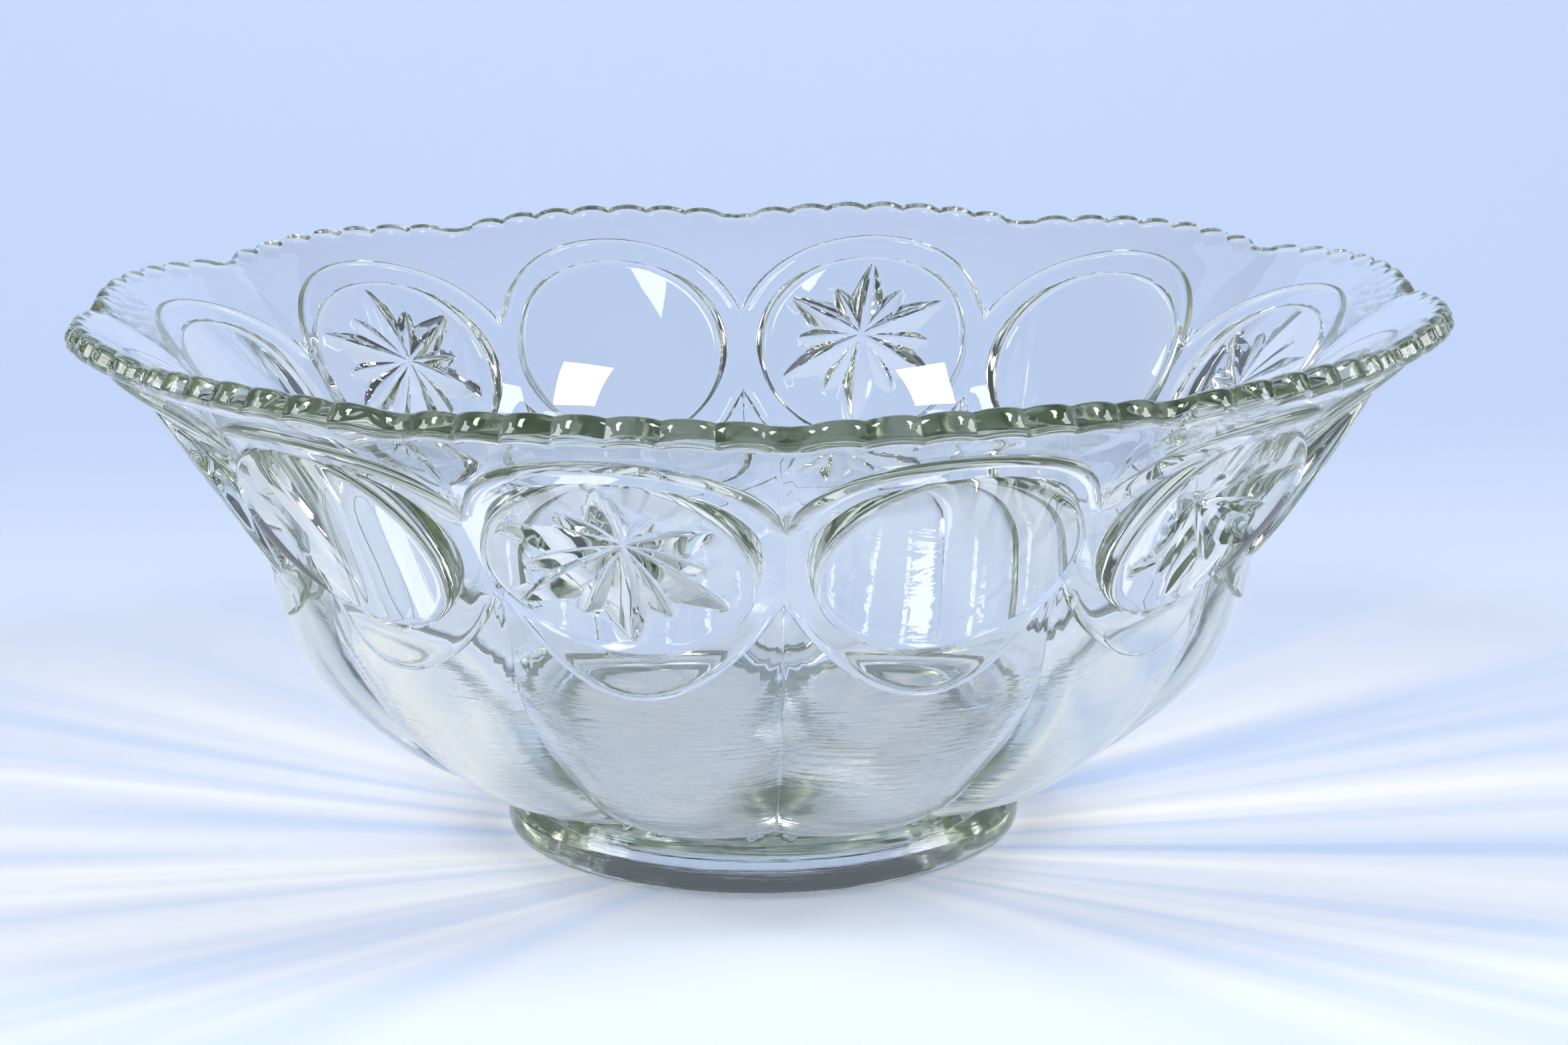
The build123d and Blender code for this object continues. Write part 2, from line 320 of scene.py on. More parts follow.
# %% [markdown]
# ## The star's grooves
# A star is cut by pressing a V-edged wheel into the coin. The floor of such a groove is a
# flat arc: deepest in the middle of the star, running out to nothing at the ray's tip. The
# flanks rise at one angle, and the very bottom is a little rounded. Six long rays and six
# short ones take turns. Where grooves overlap, the lower one wins.
#
# So that the ridges come out crisp, mesh lines must run along the edge of every groove.
# `star_angles` places them, ring by ring.

# %% Star
RIDGE_GAP = 0.16
LEAST_GROOVE = 0.5
PAST_LONG, PAST_SHORT = math.radians(12.5), math.radians(17.5)
LINE_SPREAD = 0.85
SECTOR = math.radians(60)
HALF_SECTOR = SECTOR / 2


def groove(distance, aside, length, depth):
    """Height of one groove, relative to the coin's face."""
    flank = 1 / math.tan(math.radians(RAY_FLANK))
    floor = -depth * (1 - (distance / length) ** 2)
    return floor + np.sqrt((aside * flank) ** 2 + RAY_ROUND**2) - RAY_ROUND


def both_grooves(rho, from_long):
    """Heights of the long and the short groove, from_long being radians off the long ray."""
    from_short = HALF_SECTOR - from_long
    long = groove(rho * np.cos(from_long), rho * np.sin(from_long), LONG_RAY, LONG_DEPTH)
    short = groove(rho * np.cos(from_short), rho * np.sin(from_short), SHORT_RAY, SHORT_DEPTH)
    return long, short


def star_height(rho, alpha):
    long, short = both_grooves(rho, np.abs((alpha + HALF_SECTOR) % SECTOR - HALF_SECTOR))
    return np.minimum(0.0, np.minimum(long, short))


def half_angles(rho):
    """Angles, from the long ray, of the long groove's edge and the short groove's edge."""
    a = np.radians(np.linspace(0, 30, 601))
    long, short = both_grooves(rho, a)
    in_long = (long < 0) & (long <= short)
    in_short = (short < 0) & (short < long)
    edge_long = a[in_long].max() if in_long.any() else 0.0
    edge_short = a[in_short].min() if in_short.any() else HALF_SECTOR
    return edge_long, edge_short


def star_angles(rho):
    """Directions of the mesh lines at one distance from the star's middle, all the way round."""
    edge_long, edge_short = half_angles(rho)
    gap = min(RIDGE_GAP / max(rho, 0.4), math.radians(3))
    middle = (edge_long + edge_short) / 2
    least = min(LEAST_GROOVE / max(rho, 0.5), math.radians(5))
    edge_short = min(max(edge_short, middle + gap / 2), HALF_SECTOR - least)
    edge_long = max(min(edge_long, middle - gap / 2, edge_short - gap), least)
    if rho > LONG_RAY:
        edge_long = PAST_LONG
    if rho > SHORT_RAY + 0.3:
        edge_short = PAST_SHORT
    share = np.linspace(0, 1, 6) ** LINE_SPREAD
    first = edge_long * share
    last = HALF_SECTOR - (HALF_SECTOR - edge_short) * share[::-1]
    line = np.concatenate([first, [(edge_long + edge_short) / 2], last])
    mirrored = SECTOR - line[::-1]
    pair = np.concatenate([line, mirrored[1:]])
    whole = np.concatenate([pair[:-1] + k * SECTOR for k in range(6)])
    return np.append(whole, 2 * math.pi)


print("the star is", round(-float(star_height(0.0, 0.0)), 2), "mm deep in its middle")

# %% [markdown]
# ## Rows of a medallion
# A medallion is laid out in rings, from the coin's middle to the foot of the band: the dished
# face (with or without a star), the rounded lip, the small wall below the lip, and the band
# with its rounded outer edge. The rings are closer together where the surface bends.

# %% Medallion
STAR_RINGS = [
    0.0, 1.4, 2.9, 4.4, 5.9, 7.4, 8.9, 10.4, 11.8, 13.1, 14.2, 15.2, 16.1, 16.75, 17.1, 18.0,
    19.2, 20.5, 21.5, 22.2, 22.7, 23.4,
]
PLAIN_RINGS = [0.0, 6.0, 12.0, 17.0, 21.0, 23.5]
LIP_STEPS = [0.0, 0.25, 0.5, 0.75, 1.0]
BAND_STEPS = [0.02, 0.08, 0.18, 0.30, 0.42, 0.54, 0.66, 0.77, 0.86, 0.93, 0.975, 0.995, 1.0]
CREST = COIN_RADIUS - COIN_LIP
LEAST_LIP, LEAST_WALL = 0.25, 0.3
WALL_LEAN, NO_WALL_LEAN, BAND_START = 0.06, 0.15, 0.2


def dish(rho):
    """Height of the hollowed face."""
    return -DISH_DEPTH * (1 - (rho / CREST) ** 2)


def band_height(p, q, inside_by, share):
    """Height of the band, inside_by being how far in from its outline a point is."""
    x = np.clip(inside_by / BAND_ROUND, 0, 1)
    rounding = np.sqrt(1 - (1 - x) ** 2)
    return body_height(p, q) + BAND_RAISE * (1 - share + share * rounding)


def oval(rho, h):
    """One ring on the coin, a little wider than tall."""
    return on_coin(COIN_TALL * rho * ring_cos, COIN_WIDE * rho * ring_sin, h)


def star_ring(rho):
    alpha = np.roll(star_angles(rho)[:-1], ring_start)
    alpha = np.append(alpha, alpha[0])
    up = STAR_RAISE + rho * np.cos(alpha)
    across = rho * np.sin(alpha)
    height = dish(np.hypot(up, across)) + star_height(rho, alpha)
    return on_coin(COIN_TALL * up, COIN_WIDE * across, height)


def medallion(starred):
    """Rows of points, from the coin's middle out to the foot of the band."""
    if starred:
        rows = [star_ring(rho) for rho in STAR_RINGS]
    else:
        rows = [oval(rho, dish(rho) + 0 * ring_cos) for rho in PLAIN_RINGS]
    edge_p, edge_q = COIN_TALL * COIN_RADIUS * ring_cos, COIN_WIDE * COIN_RADIUS * ring_sin
    band_here = band_height(edge_p, edge_q, BAND_ROUND + 2.0, step_share)
    meet = np.clip(band_here, -COIN_LIP, -LEAST_LIP)
    bend = np.arccos(1 + meet / COIN_LIP)
    for share in LIP_STEPS:
        turn = bend * share
        rows.append(oval(CREST + COIN_LIP * np.sin(turn), -COIN_LIP * (1 - np.cos(turn))))
    edge = CREST + COIN_LIP * np.sin(bend)
    has_wall = band_here < meet - LEAST_WALL
    foot_of_lip = np.where(has_wall, band_here + 0.35, meet + 0.1)
    foot_of_lip = np.minimum(foot_of_lip, np.maximum(meet, band_here))
    rows.append(oval(edge + np.where(has_wall, WALL_LEAN, NO_WALL_LEAN), foot_of_lip))
    start = edge + BAND_START
    start_p, start_q = COIN_TALL * start * ring_cos, COIN_WIDE * start * ring_sin
    run_p, run_q = outline * ring_cos - start_p, outline * ring_sin - start_q
    span = np.hypot(run_p, run_q)
    for share in BAND_STEPS:
        p, q = start_p + run_p * share, start_q + run_q * share
        rows.append(on_coin(p, q, band_height(p, q, span * (1 - share), step_share)))
    return np.array(rows)


star_rows = medallion(True)
plain_rows = medallion(False)
print("starred medallion", star_rows.shape[:2], "plain medallion", plain_rows.shape[:2])

# %% [markdown]
# ## The toothed rim
# The rim dips between the lobes and carries seven rounded teeth on each of them. We first
# write down the outline, and then find, along every mesh line, where the wall reaches it. The
# edge stands square to the wall, so the outline shrinks a little as it rises.

# %% Rim outline
def outer_edge(azimuth):
    """Radius of the toothed outline at the height of the tips."""
    a = np.abs(azimuth)
    lobe = RIM_TIP_RADIUS - LOBE_DEPTH * (1 - np.maximum(np.cos(np.radians(90 * a / HALF)), 0))
    k = azimuth / TOOTH_PITCH + TEETH / 2
    x = np.abs((k % 1.0) - 0.5) * 2
    x = np.where(a > TEETH * TOOTH_PITCH / 2, 1.0, x)
    return lobe - NOTCH_DEPTH * x**2.2


def trimmed(azimuth, point_at, last):
    """How far up a wall its toothed edge is."""
    slope = math.tan(math.radians(RIM_SLOPE)) / RIM_TIP_RADIUS

    def outside(s):
        x, y, z = np.moveaxis(point_at(azimuth, s), -1, 0)
        return np.hypot(x, y) > outer_edge(azimuth) * (1 - (z - RIM_TIP_HEIGHT) * slope)

    return halved(np.zeros(azimuth.shape), np.full(azimuth.shape, last), outside)


teeth_half = TEETH * TOOTH_PITCH / 2
tooth_lines = np.linspace(-teeth_half, teeth_half, TEETH * 8 + 1)
dip = 0.45 * (HALF - teeth_half)
rim_azimuth = np.concatenate([[-HALF, -HALF + dip], tooth_lines, [HALF - dip, HALF]])
rim_s = trimmed(rim_azimuth, body_point, body_s[-1])
inner_s = trimmed(rim_azimuth, inside_point, inside_s[-1])
print(len(rim_azimuth) - 1, "mesh columns along the rim of a panel")

# %% [markdown]
# ## The wall above the bands
# Each mesh line starts on a band's outline and is led, in even steps, to its own place on the
# rim. Where the band keeps its full height to the very crease, the wall starts raised by the
# same amount and eases down to its true height, so that no slit opens between them.
#
# The first and last columns lie exactly on the panel's sides, where the next panel joins. A
# pressed crease is never quite sharp, so those columns are filled in a little.

# %% Upper wall
RAISE_RUN_OUT = 4.0
FILL_ROWS = 3.0


def start_of(indices):
    """Azimuth, place along the wall, and points on the foot of the band."""
    rho = outline[indices]
    p, q = rho * ring_cos[indices], rho * ring_sin[indices]
    height = body_height(p, q)
    base = on_coin(p, q, height)
    raised = on_coin(p, q, height + BAND_RAISE * (1 - step_share[indices]))
    return azimuth_of(base), np.interp(base[..., 2], body_z, body_s), raised


def wall(indices, end_azimuth, end_s, spread):
    """Rows of points from the band's foot to another line on the wall."""
    azimuth, s, raised = start_of(indices)
    azimuth[0], azimuth[-1] = math.copysign(HALF, azimuth[0]), math.copysign(HALF, azimuth[-1])
    rows = [raised]
    offset = raised - body_point(azimuth, s)
    for share in spread[1:]:
        here = s + (end_s - s) * share
        fade = 1 - ease(np.abs(here - s) / RAISE_RUN_OUT)
        aim = azimuth + (end_azimuth - azimuth) * share
        rows.append(body_point(aim, here) + offset * fade[:, None])
    return np.array(rows)


def clamp_side(rows, fade_out):
    """Put the first and last columns exactly on the panel's sides, the crease a little filled."""
    for k in (0, -1):
        points = rows[:, k]
        side = math.copysign(HALF, float(azimuth_of(points[len(points) // 2])))
        steps = np.arange(len(points))
        fill = ease(steps / FILL_ROWS)
        if fade_out:
            fill = fill * ease(steps[::-1] / FILL_ROWS)
        radius = np.hypot(points[:, 0], points[:, 1]) + CREASE_FILL * fill
        rows[:, k] = polar(np.full(len(points), side), radius, points[:, 2])
    return rows


upper_spread = np.linspace(0, 1, 14) ** 1.25
upper_rows = wall(np.arange(UPPER + 1), rim_azimuth, rim_s - RIM_ROUNDING, upper_spread)
upper_rows = clamp_side(upper_rows, True)
print("upper wall", upper_rows.shape[:2])

# %% [markdown]
# ## The rim's edge
# Fire polishing melts the sharp corners of the rim round. Each corner becomes a short curve
# from wall to edge, drawn with the corner as its control point. The rows then run on over the
# edge and down the inside, far enough to leave the teeth behind.

# %% Rim edge
def bend_round(a, corner, b, count=4):
    """Points of a curve from a to b that leans towards the corner."""
    steps = np.linspace(0, 1, count + 1)[1:]
    return [(1 - t) ** 2 * a + 2 * t * (1 - t) * corner + t * t * b for t in steps]


outer_corner = body_point(rim_azimuth, rim_s)
inner_corner = inside_point(rim_azimuth, inner_s)
thickness = np.linalg.norm(inner_corner - outer_corner, axis=-1, keepdims=True)
across = (inner_corner - outer_corner) / thickness
edge_start = outer_corner + across * RIM_ROUNDING
edge_end = inner_corner - across * RIM_ROUNDING

edge_rows = [body_point(rim_azimuth, rim_s - RIM_ROUNDING)]
edge_rows += bend_round(edge_rows[0], outer_corner, edge_start)
for share in (0.35, 0.65):
    edge_rows.append(edge_start + across * (thickness - 2 * RIM_ROUNDING) * share)
edge_rows.append(edge_end)
edge_rows += bend_round(edge_end, inner_corner, inside_point(rim_azimuth, inner_s - RIM_ROUNDING))
for drop in (2.5, 5.0):
    edge_rows.append(inside_point(rim_azimuth, inner_s - drop))
inside_top = float(inner_s.min()) - 9.0
edge_rows.append(inside_point(rim_azimuth, np.full(UPPER + 1, inside_top)))
edge_rows = np.array(edge_rows)
print("the edge is", round(float(thickness.mean()), 1), "mm thick")

# %% [markdown]
# ## The wall below the bands
# The lower wall runs from the bands down to the line where the body comes out of the foot.
# That line is a flat cone's meeting with the lobes, so it is found by halving as well.

# %% Lower wall
def foot_meeting(azimuth):
    """How far up the wall the foot's sloping top is met."""
    slope = (FOOT_CORE[1] - FOOT_NECK[1]) / (FOOT_NECK[0] - FOOT_CORE[0])

    def clear(s):
        x, y, z = np.moveaxis(body_point(azimuth, s), -1, 0)
        r = np.hypot(x, y)
        return (z >= FOOT_NECK[1] + (FOOT_NECK[0] - r) * slope) | (r >= FOOT_NECK[0] + 3)

    return halved(np.zeros(azimuth.shape), np.full(azimuth.shape, 30.0), clear)


foot_azimuth = np.linspace(HALF, -HALF, LOWER + 1)
foot_azimuth[1], foot_azimuth[2] = HALF - 0.38, HALF - 0.9
foot_azimuth[-2], foot_azimuth[-3] = -foot_azimuth[1], -foot_azimuth[2]
lower_ring = np.arange(UPPER + SIDE, UPPER + SIDE + LOWER + 1)
lower_spread = np.linspace(0, 1, 17) ** 1.15
lower_rows = wall(lower_ring, foot_azimuth, foot_meeting(foot_azimuth), lower_spread)
lower_rows = clamp_side(lower_rows, False)
print("lower wall", lower_rows.shape[:2])

# %% [markdown]
# ## The inside and the foot
# Both are smooth and turned, so they need far fewer columns: one for every three of the wall
# above them.

# %% Inside and foot rows
inside_azimuth = rim_azimuth[::3]
few = np.ones(len(inside_azimuth))
inside_steps = np.linspace(0, 1, 36)
inside_rows = np.array([inside_point(inside_azimuth, inside_top * (1 - t) * few) for t in inside_steps])

meeting = lower_rows[-1]
turned_rows = [polar(foot_azimuth[::3], r * few, z * few) for r, z in FOOT_SIDE]
foot_rows = np.array([meeting[::3]] + turned_rows)
print("inside", inside_rows.shape[:2], "foot", foot_rows.shape[:2])

# %% [markdown]
# ## From rows to a mesh
# `create_grid` makes an even sheet of faces; we then move each of its corners to its place in
# the rows. Where a coarse sheet joins a fine one, the second row of a fine strip is gathered
# onto the coarse points, three by three, and the merging of doubles closes it.
#
# Two panels, one starred and one plain, are built this way.

# %% Sheets
def sheet(bm, rows):
    """A grid of faces whose corners are put at rows[j][i]."""
    tall, wide = rows.shape[0] - 1, rows.shape[1] - 1
    made = bmesh.ops.create_grid(bm, x_segments=wide, y_segments=tall, size=0.5)["verts"]
    for v in made:
        i = round((v.co.x + 0.5) * wide)
        j = round((v.co.y + 0.5) * tall)
        v.co = Vector(rows[j][i])
    return made


def coarse_sheet(bm, rows, fine_line):
    """Sheet with wide faces whose first row meets a line that has three times the points."""
    nearest = np.round(np.arange(len(fine_line)) / 3).astype(int)
    return sheet(bm, np.array([fine_line, rows[1][nearest]])) + sheet(bm, rows[1:])


def panel(bm, medallion_rows, azimuth):
    """Everything of one panel, outside, rim, inside and foot, turned to its azimuth."""
    made = []
    for rows in (medallion_rows, upper_rows, edge_rows, lower_rows):
        made += sheet(bm, rows)
    made += coarse_sheet(bm, inside_rows, edge_rows[-1])
    made += coarse_sheet(bm, foot_rows, meeting)
    turn = Matrix.Rotation(math.radians(azimuth), 3, "Z")
    bmesh.ops.rotate(bm, verts=made, cent=(0, 0, 0), matrix=turn)
    print("panel at", azimuth, "has", len(made), "corners")


bm = bmesh.new()
panel(bm, star_rows, FIRST_STAR)
panel(bm, plain_rows, FIRST_STAR + PANEL)

# %% [markdown]
# ## The whole bowl
# `spin` copies the pair of panels round the axis five more times. The doubles along all the
# seams are then merged, at a distance far smaller than any detail, and every edge should join
# exactly two faces: a volume only works inside a closed mesh. Faces are shaded smooth, except
# across edges that bend more than a set angle.

# %% Whole bowl
MERGE = 0.002 * MM
SHARP = math.radians(42)
pairs = PANELS // 2
everything = bm.verts[:] + bm.edges[:] + bm.faces[:]
round_the_axis = math.radians(360 - 2 * PANEL)
bmesh.ops.spin(
    bm, geom=everything, cent=(0, 0, 0), axis=(0, 0, 1), angle=round_the_axis,
    steps=pairs - 1, use_duplicate=True,
)
bmesh.ops.scale(bm, vec=(MM, MM, MM), verts=bm.verts)
bmesh.ops.remove_doubles(bm, verts=bm.verts, dist=MERGE)
bmesh.ops.recalc_face_normals(bm, faces=bm.faces)
print("edges that don't join two faces:", sum(len(e.link_faces) != 2 for e in bm.edges))
print("triangles", sum(len(f.verts) - 2 for f in bm.faces), "glass", round(bm.calc_volume() * 1e6), "cm3")

for edge in bm.edges:
    edge.smooth = edge.calc_face_angle(0) <= SHARP
for face in bm.faces:
    face.smooth = True

# %% [markdown]
# ## The bowl as an object
# The bowl is one piece of glass, so it becomes one object. It rides on the root body, because
# nothing on it moves, and it takes the place of the frame's own bowl. Its object stays at the
# origin, unturned: its place is in its mesh.

# %% Punch bowl
def object_from(name, bm):
    mesh = bpy.data.meshes.new(name)
    bm.to_mesh(mesh)
    bm.free()
    made = bpy.data.objects.new(name, mesh)
    bpy.context.scene.collection.objects.link(made)
    print(name, "has", len(mesh.polygons), "faces")
    return made


bowl = object_from("punch_bowl", bm)
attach(bowl, "root")
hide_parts("glass_bowl")

# %% [markdown]
# ## Sums with shader sockets
# Materials need a little arithmetic. Instead of wiring every Math node by hand, we wrap a
# socket in a small class, so that `a * b + c` adds the nodes for us. Every other node comes
# from one method: its type, then its settings, then the values or links of its sockets.

# %% Shader helper
class Value:
    """Something that changes over a surface: a number, or a colour or vector for other nodes."""

    def __init__(self, finish, socket):
        self.finish = finish
        self.socket = socket

    def math(self, operation, *others):
        return self.finish.math(operation, self, *others)

    def __add__(self, other):
        return self.math("ADD", other)

    def __radd__(self, other):
        return self.math("ADD", other)

    def __sub__(self, other):
        return self.math("SUBTRACT", other)

    def __rsub__(self, other):
        return self.finish.math("SUBTRACT", other, self)

    def __mul__(self, other):
        return self.math("MULTIPLY", other)

    def __rmul__(self, other):
        return self.math("MULTIPLY", other)

    def __abs__(self):
        return self.math("ABSOLUTE")

    def between(self, low, high, interpolation="LINEAR"):
        """0 at low, 1 at high, and held there beyond them."""
        limits = {"Value": self, "From Min": low, "From Max": high}
        return self.finish.node("MapRange", {"interpolation_type": interpolation}, limits)


class Finish:
    """A material, its Principled shader, and the nodes that feed it."""

    def __init__(self, name, settings):
        self.material = bpy.data.materials.new(name)
        self.material.use_nodes = True
        self.tree = self.material.node_tree
        self.shader = self.tree.nodes["Principled BSDF"]
        self.output = self.tree.nodes["Material Output"]
        self.feed(self.shader, settings)

    def feed(self, node, values):
        for name, value in values.items():
            if isinstance(value, Value):
                self.tree.links.new(value.socket, node.inputs[name])
            else:
                node.inputs[name].default_value = value

    def node(self, kind, settings, values, output=0):
        made = self.tree.nodes.new("ShaderNode" + kind)
        for name, value in settings.items():
            setattr(made, name, value)
        self.feed(made, values)
        return Value(self, made.outputs[output])

    def math(self, operation, *values):
        return self.node("Math", {"operation": operation}, dict(enumerate(values)))

    def mix(self, factor, a, b):
        return self.node("Mix", {"data_type": "RGBA"}, {"Factor": factor, "A": a, "B": b}, "Result")

    def place(self):
        """The object's own coordinates, as a vector and as x, y and z."""
        vector = self.node("TexCoord", {}, {}, "Object")
        split = self.node("SeparateXYZ", {}, {"Vector": vector}).socket.node
        return vector, [Value(self, socket) for socket in split.outputs]


print("shader helper ready")

# %% [markdown]
# ## Clear glass
# Glass is all transmission, with the refractive index of soda-lime glass. Its faint grey-green
# comes from a little iron all through it, so the tint belongs in the volume: thin glass looks
# clear, and light that runs a long way inside the rim or the foot comes out olive.
#
# The lower body isn't quite smooth: the mould left fine level lines in it, and everywhere the
# surface swims a little. Both are noise through a Bump node. The level lines are noise that
# has been squeezed hard along Z, and they fade out at the height where the medallions start.

# %% Clear glass
LINES_START, LINES_FULL = 0.062, 0.045
LINES_STRENGTH = 0.35
SQUEEZED, EVEN = (6, 6, 260), (1, 1, 1)
glass = Finish("clear_glass", {
    "Base Color": (1, 1, 1, 1), "Roughness": 0.0, "IOR": 1.52, "Transmission Weight": 1.0,
})
iron = glass.node("VolumeAbsorption", {}, {"Color": (0.60, 0.66, 0.52, 1), "Density": 11.0})
glass.feed(glass.output, {"Volume": iron})
where, (_, _, z) = glass.place()


def glass_noise(stretch, scale, detail):
    vector = glass.node("Mapping", {}, {"Vector": where, "Scale": stretch})
    return glass.node("TexNoise", {}, {"Vector": vector, "Scale": scale, "Detail": detail})


level_lines = glass_noise(SQUEEZED, 5.0, 3.0) * z.between(LINES_START, LINES_FULL)
swimming = glass_noise(EVEN, 28.0, 1.0)
height = level_lines * LINES_STRENGTH + swimming
bump = glass.node("Bump", {}, {"Strength": 0.5, "Distance": 0.0004, "Height": height})
glass.feed(glass.shader, {"Normal": bump})
bowl.data.materials.append(glass.material)
print("glass made with", len(glass.tree.nodes), "nodes")

# %% [markdown]
# ## The paper it stands on
# The bowl stands on a roll of white paper that curves up behind it. Close to the bowl the
# paper is nearly white; further back it turns a cool blue. Some glow of its own stands in for
# the large soft lights of a studio.
#
# Glass throws light about: streaks fan out on the paper to the left and the right of the foot.
# Tracing them takes hours, so they are painted: noise over the direction from the bowl gives
# the rays, and they fade with distance and towards the front and back. In front and at the
# sides the paper's colour is painted dark, a painted shade that stands in for a dim room and makes the
# glass show dark lines.

# %% Paper
NEAR_WHITE = (0.82, 0.89, 1.0, 1)
FAR_BLUE = (0.65, 0.76, 0.99, 1)
STREAK_SHADE = (0.52, 0.66, 0.93, 1)
STREAK_LIGHT = (1.0, 1.0, 1.0, 1)
PAINTED_ROOM_SHADE = (0.20, 0.23, 0.28, 1)
FAN_CENTRE = -0.02
RAYS, RAY_CHANGE, OTHER_SIDE = 6.5, 1.6, 7.0
RAY_CONTRAST = (0.34, 0.66)
SHADE_STRENGTH = 0.75
FAN_EDGE = (1.2, 0.55)
FAN_REACH = (0.42, 0.12)
BLUE_FROM_TO = (-0.25, 0.60)
FRONT_DIMS = (-0.42, -0.75)
SIDES_DIM = (0.70, 1.20)

paper = Finish("paper", {"Roughness": 0.7, "Specular IOR Level": 0.1, "Emission Strength": 0.29})
_, (x, y, z) = paper.place()
backwards = (y + z).between(*BLUE_FROM_TO, "SMOOTHSTEP")
plain = paper.mix(backwards, NEAR_WHITE, FAR_BLUE)

ahead = y - FAN_CENTRE
angle = ahead.math("ARCTAN2", abs(x))
reach = (x * x + ahead * ahead).math("SQRT")
fan = {"X": angle * RAYS + x.math("SIGN") * OTHER_SIDE, "Y": reach * RAY_CHANGE}
fan_vector = paper.node("CombineXYZ", {}, fan)
rays = paper.node("TexNoise", {}, {"Vector": fan_vector, "Scale": 1.0, "Detail": 2.5, "Roughness": 0.5})
sideways = abs(angle).between(*FAN_EDGE, "SMOOTHSTEP")
amount = sideways * reach.between(*FAN_REACH, "SMOOTHSTEP")
# Painted shadow: the whole fan is first shaded blue-grey, then painted light streaks go over it.
shaded = paper.mix(amount * SHADE_STRENGTH, plain, STREAK_SHADE)
lit = paper.mix(amount * rays.between(*RAY_CONTRAST), shaded, STREAK_LIGHT)

# Painted shade: the paper's colour darkens towards the front and the sides, standing in for a dim room.
front = y.between(*FRONT_DIMS, "SMOOTHSTEP")
flank = abs(x).between(*SIDES_DIM, "SMOOTHSTEP")
paper_colour = paper.mix(front.math("MAXIMUM", flank), lit, PAINTED_ROOM_SHADE)
paper.feed(paper.shader, {"Base Color": paper_colour, "Emission Color": paper_colour})
print("paper made with", len(paper.tree.nodes), "nodes")

# %% [markdown]
# ## The paper's shape
# Two flat grids make a wide table top. A narrow strip starts just before the curl: `spin`
# bends its back edge up through a quarter turn, and an extrude carries it straight on up. The
# paper lies a hair below the foot, so that glass and paper never share a face.

# %% Stage
PAPER_LEVEL = -0.0003
ROOM = 2.2
CURL_START, CURL_RADIUS = 0.5, 0.35
STRIP_WIDE, STRIP_DEEP, STRIP_LIFT = 1.4, 0.02, 0.00005
BACK_DROP = 0.002
RISE = 0.40


def flat(bm, low, high, wide, level):
    """A level rectangle from low to high along Y."""
    made = bmesh.ops.create_grid(bm, x_segments=1, y_segments=1, size=0.5)["verts"]
    bmesh.ops.scale(bm, vec=(wide, high - low, 1), verts=made)
    bmesh.ops.translate(bm, vec=(0, (low + high) / 2, level), verts=made)
    return made


def sweep():
    bm = bmesh.new()
    flat(bm, -ROOM, CURL_START, 2 * ROOM, PAPER_LEVEL)
    flat(bm, CURL_START, ROOM, 2 * ROOM, PAPER_LEVEL - BACK_DROP)
    strip = flat(bm, CURL_START - STRIP_DEEP, CURL_START, STRIP_WIDE, PAPER_LEVEL + STRIP_LIFT)
    back = {v for v in strip if v.co.y > CURL_START - STRIP_DEEP / 2}
    edge = next(e for e in bm.edges if set(e.verts) == back)
    curl = bmesh.ops.spin(
        bm, geom=[edge] + list(back), cent=(0, CURL_START, PAPER_LEVEL + CURL_RADIUS),
        axis=(1, 0, 0), angle=math.radians(90), steps=12,
    )
    top = [g for g in curl["geom_last"] if isinstance(g, bmesh.types.BMEdge)]
    wall_made = bmesh.ops.extrude_edge_only(bm, edges=top)["geom"]
    wall_verts = [g for g in wall_made if isinstance(g, bmesh.types.BMVert)]
    bmesh.ops.translate(bm, vec=(0, 0, RISE), verts=wall_verts)
    bmesh.ops.recalc_face_normals(bm, faces=bm.faces)
    for face in bm.faces:
        face.smooth = True
    return object_from("floor", bm)


floor = sweep()
floor.data.materials.append(paper.material)

# %% [markdown]
# ## Light
# Four small soft boxes stand round the bowl: two low ones at the sides, which light up the
# flutes of the rim, and two higher ones in front, whose square reflections show on the far
# inside wall. The room itself adds only a faint blue.

# %% Light
world = bpy.data.worlds.new("studio")
bpy.context.scene.world = world
world.use_nodes = True
room = world.node_tree.nodes["Background"]
room.inputs["Color"].default_value = (0.75, 0.85, 1.0, 1)
room.inputs["Strength"].default_value = 0.12


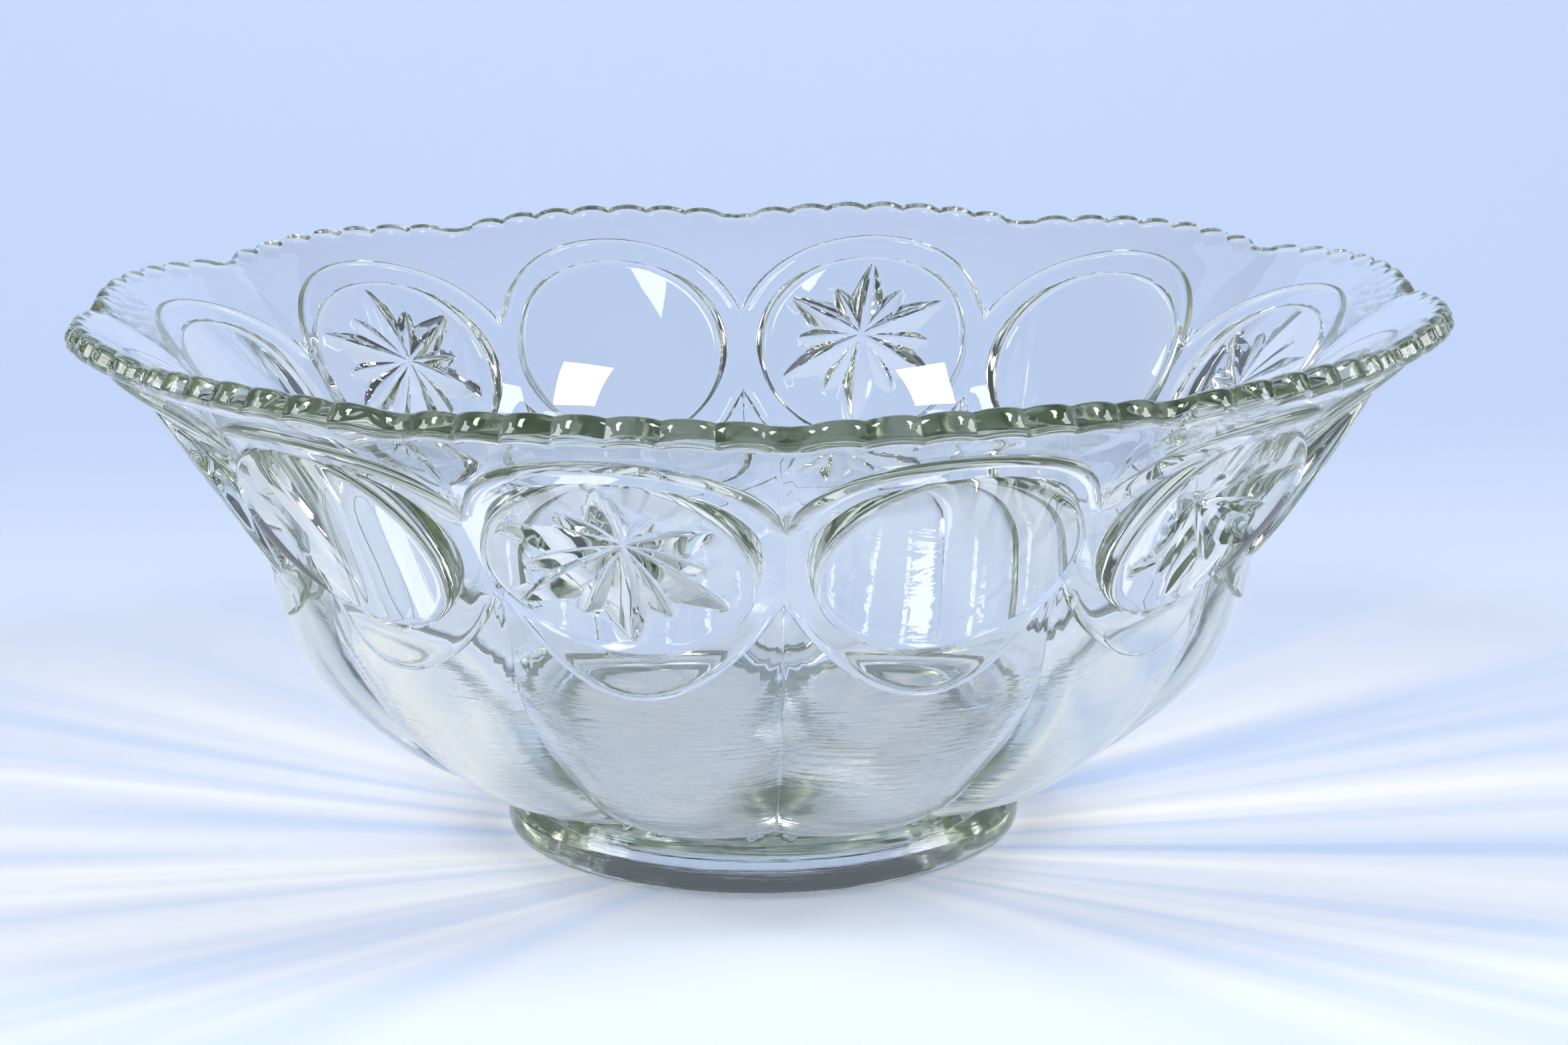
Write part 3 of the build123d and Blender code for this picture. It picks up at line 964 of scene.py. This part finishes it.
def softbox(name, place, aim_height, size, watts):
    light = bpy.data.lights.new(name, "AREA")
    light.shape = "RECTANGLE"
    light.size, light.size_y = size
    light.energy = watts
    lamp = bpy.data.objects.new(name, light)
    lamp.location = place
    lamp.rotation_euler = (Vector((0, 0, aim_height)) - Vector(place)).to_track_quat("-Z", "Y").to_euler()
    bpy.context.scene.collection.objects.link(lamp)
    print(name, "gives", watts, "W")


SIDE_BOX, SIDE_WATTS = (0.34, 0.34), 2.9
HIGH_BOX, HIGH_WATTS = (0.20, 0.26), 3.2
softbox("left_box", (-0.85, -0.20, 0.42), 0.05, SIDE_BOX, SIDE_WATTS)
softbox("right_box", (0.85, -0.20, 0.42), 0.05, SIDE_BOX, SIDE_WATTS)
softbox("upper_left_box", (-0.64, -0.42, 0.85), 0.08, HIGH_BOX, HIGH_WATTS)
softbox("upper_right_box", (0.62, -0.42, 0.85), 0.08, HIGH_BOX, HIGH_WATTS)

# %% [markdown]
# ## Camera
# The camera looks down on the bowl a little, from about 80 centimetres away, with a long
# lens. Light that passes through many glass walls needs many bounces, and the plain Standard
# view keeps the paper's white and blue as they are set.

# %% Camera
CAMERA_PLACE = (-0.02928, -0.76637, 0.24287)
CAMERA_TURN, CAMERA_TILT, CAMERA_ROLL = -2.575, 77.262, -0.427
GLASS_BOUNCES = 48

lens = bpy.data.cameras.new("camera")
lens.lens = 80.18
lens.sensor_width = 36
camera = bpy.data.objects.new("camera", lens)
turned = Matrix.Rotation(math.radians(CAMERA_TURN), 4, "Z")
tilted = Matrix.Rotation(math.radians(CAMERA_TILT), 4, "X")
rolled = Matrix.Rotation(math.radians(CAMERA_ROLL), 4, "Z")
camera.matrix_world = Matrix.Translation(CAMERA_PLACE) @ turned @ tilted @ rolled

scene = bpy.context.scene
scene.collection.objects.link(camera)
scene.camera = camera
scene.cycles.max_bounces = GLASS_BOUNCES
scene.cycles.transmission_bounces = GLASS_BOUNCES
scene.cycles.glossy_bounces = GLASS_BOUNCES
scene.view_settings.view_transform = "Standard"
print("camera", round(Vector(CAMERA_PLACE).length, 2), "m from the bowl")
